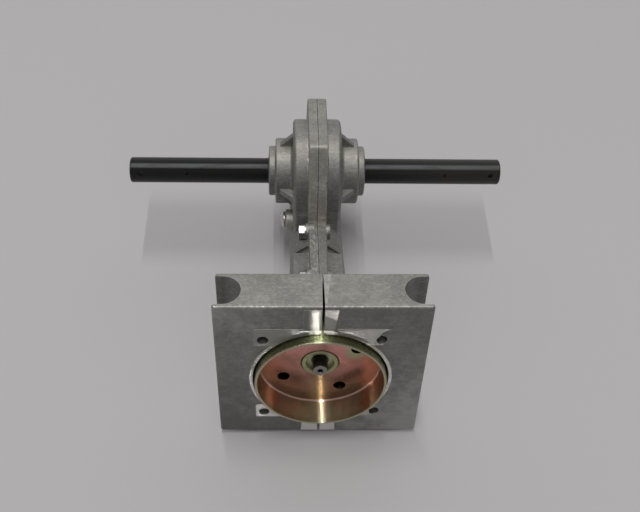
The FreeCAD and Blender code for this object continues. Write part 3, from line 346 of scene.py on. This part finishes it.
def yellow_zinc():
    m = Mat("yellow_zinc")
    r = m.radius()
    sp = m.spoke()
    n1 = m.noise(0.06, 3, 0.55)
    n2 = m.noise(0.35, 4, 0.6)
    rings = m.noise(1.0, 3, 0.6, vec=m.combine(m.math("MULTIPLY", r, 2.2), m.math("MULTIPLY", m.v, 2.2), 0.0))
    # colour bands of the passivation that run up the wall
    bands = m.noise(3.2, 3, 0.6, vec=m.vmath("ADD", sp, m.vmath("MULTIPLY", m.q, (0.0, 0.004, 0.0))))
    thin = m.noise(11.0, 3, 0.6, vec=m.vmath("ADD", sp, m.vmath("MULTIPLY", m.q, (0.0, 0.004, 0.0))))
    # bottom: rose in the middle, copper and brown towards the wall
    t = m.math("ADD", m.math("MULTIPLY", r, 0.022), m.math("MULTIPLY", m.math("SUBTRACT", n1, 0.5), 0.9))
    bottom = m.ramp(t, [(0.18, (0.66, 0.31, 0.29)), (0.42, (0.64, 0.28, 0.245)), (0.62, (0.58, 0.26, 0.175)), (0.82, (0.44, 0.28, 0.175))])
    bottom = m.mix(m.step(m.w, -27.0, -54.0, 0.0, 0.6), bottom, (0.36, 0.225, 0.13))
    bottom = m.mix(m.step(m.math("ADD", m.w, m.math("MULTIPLY", n1, 20.0)), -20.0, 0.0, 0.0, 0.85), bottom, (0.97, 0.475, 0.455))
    bottom = m.mix(m.step(m.noise(0.085, 3, 0.5, vec=m.vmath("ADD", m.q, (31.0, 7.0, 12.0))), 0.47, 0.66, 0.0, 0.6), bottom, (0.33, 0.215, 0.13))
    # darker bands beside the two lower holes
    for sx, amount in ((1.0, 0.85), (-1.0, 0.65)):
        dx = m.math("SUBTRACT", m.math("MULTIPLY", m.x, sx), 17.5)
        dw = m.math("ADD", m.w, 43.5)
        along = m.math("ADD", m.math("MULTIPLY", dx, 0.805), m.math("MULTIPLY", dw, 0.593))
        aside = m.math("SUBTRACT", m.math("MULTIPLY", dw, 0.805), m.math("MULTIPLY", dx, 0.593))
        aside = m.math("ADD", m.math("ABSOLUTE", aside), m.math("MULTIPLY", m.math("SUBTRACT", n2, 0.5), 3.0))
        dark_band = m.math("MULTIPLY", m.step(aside, 7.0, 0.5), m.step(m.math("ABSOLUTE", along), 14.0, 5.0))
        bottom = m.mix(m.math("MULTIPLY", dark_band, amount), bottom, (0.20, 0.095, 0.06))
    deep = m.math("MULTIPLY", m.step(m.math("ADD", r, m.math("MULTIPLY", n2, 3.0)), 27.0, 32.0), m.step(m.w, -44.0, -54.0))
    bottom = m.mix(m.math("MULTIPLY", deep, 0.55), bottom, (0.14, 0.085, 0.055))
    warm = m.math("MULTIPLY", m.step(m.x, 22.0, 28.0), m.step(m.w, -22.0, -32.0))
    bottom = m.mix(m.math("MULTIPLY", warm, 0.45), bottom, (0.90, 0.38, 0.24))
    # painted highlight: a bright streak of reflected light on the bottom, running down the middle from the hub
    floor_streak_highlight = m.math("MULTIPLY", m.step(m.math("ABSOLUTE", m.x), 9.0, 1.5), m.step(m.w, -42.0, -52.0))
    bottom = m.mix(m.math("MULTIPLY", floor_streak_highlight, 0.6), bottom, (0.72, 0.53, 0.29))
    streak_tip_highlight = m.math("MULTIPLY", m.step(m.math("ABSOLUTE", m.x), 2.2, 0.6), m.step(m.w, -37.0, -41.0))
    bottom = m.mix(m.math("MULTIPLY", streak_tip_highlight, 0.5), bottom, (0.98, 0.80, 0.48))
    # a green stain round the upper right hole
    spot = m.vmath("LENGTH", m.combine(m.math("SUBTRACT", m.x, 19.3), m.math("SUBTRACT", m.w, -22.5), 0.0))
    bottom = m.mix(m.step(m.math("ADD", spot, m.math("MULTIPLY", n2, 5.0)), 10.6, 4.6, 0.0, 0.85), bottom, (0.42, 0.54, 0.32))
    # wall: brown olive with rose and orange bands, pale at the rim
    wall = m.ramp(bands, [(0.32, (0.48, 0.48, 0.35)), (0.46, (0.70, 0.66, 0.50)), (0.57, (0.78, 0.62, 0.46)), (0.68, (0.60, 0.56, 0.42))])
    wall = m.mix(m.step(thin, 0.54, 0.70, 0.0, 0.55), wall, (0.74, 0.36, 0.24))
    wall = m.mix(m.step(thin, 0.46, 0.30, 0.0, 0.5), wall, (0.34, 0.31, 0.21))
    # painted reflection: orange streaks of light bounced across the wall near its left and right sides, and a pale
    # flush on the left side
    side = m.math("ADD", m.math("ABSOLUTE", m.dot(sp, (1, 0, 0))), m.math("MULTIPLY", m.math("SUBTRACT", n2, 0.5), 0.03))
    side_reflection = m.math("MULTIPLY", m.step(side, 0.725, 0.76), m.step(side, 0.81, 0.775))
    wall = m.mix(m.step(side, 0.50, 0.85, 0.0, 0.55), wall, (0.60, 0.30, 0.17))
    wall = m.mix(side_reflection, wall, (1.0, 0.43, 0.26))
    wall = m.mix(m.step(m.dot(sp, (1, 0, 0)), -0.15, -0.55, 0.0, 0.40), wall, (1.0, 0.60, 0.43))
    wall = m.mix(m.step(m.math("ABSOLUTE", m.x), 7.0, 1.5, 0.0, 0.60), wall, (0.32, 0.28, 0.18))
    wall = m.mix(m.step(m.v, 137.0, 132.0, 0.0, 0.4), wall, (0.74, 0.50, 0.37))
    wall = m.mix(m.step(m.v, 142.0, 147.0, 0.0, 0.8), wall, (0.42, 0.42, 0.29))
    col = m.mix(m.step(m.v, 131.2, 132.2), bottom, wall)
    # painted highlight along the corner between bottom and wall
    corner_highlight = m.math("MULTIPLY", m.step(m.v, 131.15, 131.35), m.step(m.v, 132.6, 132.0))
    col = m.mix(m.math("MULTIPLY", corner_highlight, m.step(r, 34.9, 34.6)), col, (0.86, 0.64, 0.57))
    out = m.step(r, 34.9, 35.6)
    col = m.mix(m.math("MULTIPLY", out, m.step(m.v, 146.3, 145.6)), col, m.mix(m.step(bands, 0.40, 0.60), (0.33, 0.36, 0.19), (0.40, 0.41, 0.21)))
    col = m.mix(m.math("MULTIPLY", m.step(n2, 0.50, 0.78), 0.25), col, (0.44, 0.40, 0.27))
    # the walls of the four holes are dark
    hole = m.math("MULTIPLY", m.step(m.math("ABSOLUTE", m.normal_along(AX_V)), 0.75, 0.45), m.math("MULTIPLY", m.step(r, 17.0, 18.5), m.step(r, 30.0, 28.5)))
    col = m.mix(m.math("MULTIPLY", hole, 0.85), col, (0.055, 0.048, 0.034))
    rough = m.math("ADD", m.math("MULTIPLY", rings, 0.12), m.math("ADD", m.math("MULTIPLY", n2, 0.10), 0.16))
    rough = m.blend(out, m.math("MULTIPLY", rough, 0.60), rough)
    relief = m.bump(m.math("ADD", m.math("MULTIPLY", rings, 0.5), m.math("MULTIPLY", n2, 0.3)), 0.03, 0.5)
    m.set(Base_Color=col, Metallic=1.0, Roughness=rough, Normal=m.grooves(relief, turned_gloss(m), 0.80, 1.7))
    return m.m


def hub_zinc():
    m = Mat("yellow_zinc_hub")
    n2 = m.noise(0.5, 4, 0.6)
    rings = m.noise(1.0, 3, 0.6, vec=m.combine(m.math("MULTIPLY", m.radius(), 3.0), m.math("MULTIPLY", m.v, 2.0), 0.0))
    col = m.ramp(n2, [(0.3, (0.33, 0.34, 0.19)), (0.7, (0.47, 0.475, 0.28))])
    # painted shadow in the upper part of the hub's recess
    col = m.mix(m.math("MULTIPLY", m.step(m.v, 129.6, 129.3), m.step(m.w, -30.0, -26.0, 0.0, 0.6)), col, (0.12, 0.115, 0.075))
    rough = m.math("ADD", m.math("MULTIPLY", rings, 0.2), 0.22)
    m.set(Base_Color=col, Metallic=1.0, Roughness=rough, Anisotropic=m.math("MULTIPLY", rings, 1.0), Tangent=turned_gloss(m),
          Normal=m.bump(rings, 0.05, 0.7))
    return m.m


def metal(name, lo, hi, rough0, rough1, grain=(1.0, 1.0, 1.0), scale=1.0, bump_mm=0.04, metallic=1.0, wear=None, screw_and_plug_marks=False):
    """A worked metal: colour, gloss and fine relief follow one directed grain and one blotchy noise."""
    m = Mat(name)
    n1 = m.noise(0.25 * scale, 4, 0.6)
    n2 = m.noise(1.2 * scale, 3, 0.6, vec=m.scaled(*grain))
    f = m.math("ADD", m.math("MULTIPLY", n1, 0.6), m.math("MULTIPLY", n2, 0.4))
    col = m.ramp(f, [(0.32, lo), (0.68, hi)])
    if wear:
        col = m.mix(m.math("MULTIPLY", m.edge(0.4, 3.0), 0.6), col, wear)
    rough = m.step(f, 0.3, 0.7, rough0, rough1)
    if screw_and_plug_marks:
        # the screw beside the block is made dark and rough; the plug is painted pale as a painted highlight
        dark_screw = m.math("MULTIPLY", m.step(m.v, 74.0, 76.0), m.math("MULTIPLY", m.step(m.v, 93.0, 91.0), m.step(m.w, -30.0, -25.0)))
        col = m.mix(m.math("MULTIPLY", dark_screw, 0.62), col, (0.10, 0.098, 0.094))
        rough = m.blend(dark_screw, rough, 0.46)
        col = m.mix(m.step(m.x, -15.0, -16.5, 0.0, 0.6), col, (0.82, 0.82, 0.80))
    m.set(Base_Color=col, Metallic=metallic, Roughness=rough, Normal=m.bump(f, bump_mm, 0.7))
    return m.m


def worm_steel():
    m = Mat("dark_steel")
    n1 = m.noise(0.3, 4, 0.6)
    rings = m.noise(1.0, 3, 0.6, vec=m.combine(m.math("MULTIPLY", m.radius(), 3.0), m.math("MULTIPLY", m.v, 3.0), 0.0))
    col = m.ramp(n1, [(0.3, (0.055, 0.053, 0.05)), (0.7, (0.105, 0.102, 0.098))])
    end = m.step(m.v, 136.3, 136.6)
    col = m.mix(end, col, m.ramp(rings, [(0.3, (0.20, 0.195, 0.185)), (0.7, (0.34, 0.335, 0.32))]))
    hole = m.math("MULTIPLY", m.step(m.radius(), 1.5, 1.3), m.step(m.v, 136.79, 136.7))
    col = m.mix(hole, col, (0.01, 0.01, 0.01))
    rough = m.math("ADD", m.math("MULTIPLY", rings, 0.2), 0.25)
    m.set(Base_Color=col, Metallic=0.9, Roughness=rough, Normal=m.bump(rings, 0.04, 0.7))
    return m.m


def rubber():
    m = Mat("rubber")
    n = m.noise(1.6, 4, 0.6)
    col = m.ramp(n, [(0.3, (0.014, 0.014, 0.014)), (0.7, (0.03, 0.03, 0.03))])
    m.set(Base_Color=col, Roughness=m.step(n, 0.3, 0.7, 0.50, 0.72), Normal=m.bump(n, 0.05, 0.7))
    return m.m


def fibre():
    m = Mat("gasket_fibre")
    n = m.noise(1.0, 5, 0.65, vec=m.scaled(1.0, 2.5, 0.7))
    col = m.ramp(n, [(0.3, (0.045, 0.043, 0.038)), (0.7, (0.095, 0.092, 0.082))])
    m.set(Base_Color=col, Roughness=m.step(n, 0.3, 0.7, 0.75, 0.95), Normal=m.bump(n, 0.08, 0.8))
    return m.m


def nylon():
    m = Mat("cage_nylon")
    n = m.noise(0.9, 3, 0.5)
    col = m.ramp(n, [(0.3, (0.48, 0.40, 0.27)), (0.7, (0.60, 0.51, 0.36))])
    m.set(Base_Color=col, Roughness=m.step(n, 0.3, 0.7, 0.40, 0.55), Normal=m.bump(n, 0.05, 0.6))
    return m.m


mats = {
    "cast_aluminium": cast_aluminium(),
    "black_steel": black_shaft(),
    "dark_steel": worm_steel(),
    "yellow_zinc": yellow_zinc(),
    "zinc_steel": metal("zinc_steel", (0.30, 0.305, 0.31), (0.48, 0.485, 0.49), 0.30, 0.46, (1, 3, 3), 1.0, 0.03, 1.0, (0.7, 0.7, 0.7), True),
    "bearing_steel": metal("bearing_steel", (0.50, 0.50, 0.50), (0.66, 0.66, 0.66), 0.10, 0.20, (1, 1, 4), 1.0, 0.02),
    "bronze": metal("bronze", (0.42, 0.26, 0.10), (0.58, 0.38, 0.17), 0.22, 0.40, (1, 2, 2), 1.0, 0.05, 1.0, (0.70, 0.50, 0.25)),
    "rubber": rubber(),
    "gasket_fibre": fibre(),
    "cage_nylon": nylon(),
}
slot_of = {p["node"]: p["material_slot"] for p in frame["record"]["subparts"]}
hub_mat = hub_zinc()
for name, ob in nodes.items():
    mat = hub_mat if name == "drum_hub" else mats[slot_of[name]]
    if not ob.material_slots:
        ob.data.materials.append(mat)
    for sl in ob.material_slots:
        sl.material = mat

# ------------------------------------------------------------------ floor, light and camera
fm = bpy.data.materials.new("floor")
fm.use_nodes = True
fb = fm.node_tree.nodes["Principled BSDF"]
fb.inputs["Roughness"].default_value = 0.75
fb.inputs["Specular IOR Level"].default_value = 0.25
fn = fm.node_tree.nodes.new("ShaderNodeTexNoise")
fn.inputs["Scale"].default_value = 6.0
fr = fm.node_tree.nodes.new("ShaderNodeValToRGB")
fr.color_ramp.elements[0].position = 0.3
fr.color_ramp.elements[0].color = (0.585, 0.572, 0.588, 1)
fr.color_ramp.elements[1].position = 0.7
fr.color_ramp.elements[1].color = (0.600, 0.588, 0.604, 1)
fm.node_tree.links.new(fn.outputs["Fac"], fr.inputs[0])
fm.node_tree.links.new(fr.outputs[0], fb.inputs["Base Color"])
me = bpy.data.meshes.new("floor")
me.from_pydata([(-6, -6, 0), (6, -6, 0), (6, 6, 0), (-6, 6, 0)], [], [(0, 1, 2, 3)])
floor = bpy.data.objects.new("floor", me)
floor.data.materials.append(fm)
bpy.context.scene.collection.objects.link(floor)

world = bpy.data.worlds.new("studio")
bpy.context.scene.world = world
world.use_nodes = True
wt = world.node_tree
bg = wt.nodes["Background"]
tc = wt.nodes.new("ShaderNodeTexCoord")
sep = wt.nodes.new("ShaderNodeSeparateXYZ")
wt.links.new(tc.outputs["Generated"], sep.inputs[0])
wr = wt.nodes.new("ShaderNodeValToRGB")
wr.color_ramp.elements[0].position = 0.0
wr.color_ramp.elements[0].color = (0.16, 0.16, 0.16, 1)
wr.color_ramp.elements[1].position = 1.0
wr.color_ramp.elements[1].color = (0.36, 0.36, 0.36, 1)
wt.links.new(sep.outputs["Z"], wr.inputs[0])
back = wt.nodes.new("ShaderNodeMapRange")
back.interpolation_type = "SMOOTHSTEP"
back.inputs["From Min"].default_value = 0.0
back.inputs["From Max"].default_value = 0.75
back.inputs["To Min"].default_value = 0.0
back.inputs["To Max"].default_value = 1.60
wt.links.new(sep.outputs["Y"], back.inputs["Value"])
fore = wt.nodes.new("ShaderNodeMapRange")
fore.interpolation_type = "SMOOTHSTEP"
fore.inputs["From Min"].default_value = -0.1
fore.inputs["From Max"].default_value = -0.8
fore.inputs["To Min"].default_value = 0.0
fore.inputs["To Max"].default_value = 0.80
wt.links.new(sep.outputs["Y"], fore.inputs["Value"])
both = wt.nodes.new("ShaderNodeMath")
both.operation = "ADD"
wt.links.new(back.outputs["Result"], both.inputs[0])
wt.links.new(fore.outputs["Result"], both.inputs[1])
add = wt.nodes.new("ShaderNodeMix")
add.data_type = "RGBA"
add.blend_type = "ADD"
add.inputs[0].default_value = 1.0
wt.links.new(wr.outputs[0], add.inputs[6])
wt.links.new(both.outputs[0], add.inputs[7])
wt.links.new(add.outputs[2], bg.inputs["Color"])
bg.inputs["Strength"].default_value = 0.325


def area(name, loc, size_x, size_y, energy, colour=(1, 1, 1), aim=None):
    li = bpy.data.lights.new(name, "AREA")
    li.shape = "RECTANGLE"
    li.size, li.size_y = size_x, size_y
    li.energy = energy
    li.color = colour
    ob = bpy.data.objects.new(name, li)
    ob.location = loc
    if aim is not None:
        ob.rotation_euler = (Vector(aim) - Vector(loc)).to_track_quat("-Z", "Y").to_euler()
    bpy.context.scene.collection.objects.link(ob)
    return ob


area("tube", (-0.165, -0.206, 3.2), 0.06, 2.58, 48.5, (1.0, 0.985, 0.965))

view = bpy.context.scene.view_settings
view.view_transform = "Standard"
view.look = "None"
view.exposure = 0.0

cam = bpy.data.cameras.new("camera")
cam.sensor_fit = "HORIZONTAL"
cam.sensor_width = 36.0
cam.lens = 50.044
cam.clip_start, cam.clip_end = 0.01, 50.0
cam_ob = bpy.data.objects.new("camera", cam)
fwd = Vector((0.03971, 0.60598, -0.79449)).normalized()
right = Vector((0.99921, -0.02191, 0.03323))
right = (right - fwd * right.dot(fwd)).normalized()
up = right.cross(fwd)
cam_ob.matrix_world = Matrix((
    (right.x, up.x, -fwd.x, -0.020017),
    (right.y, up.y, -fwd.y, -0.334142),
    (right.z, up.z, -fwd.z, 0.483856),
    (0, 0, 0, 1)))
bpy.context.scene.collection.objects.link(cam_ob)
bpy.context.scene.camera = cam_ob
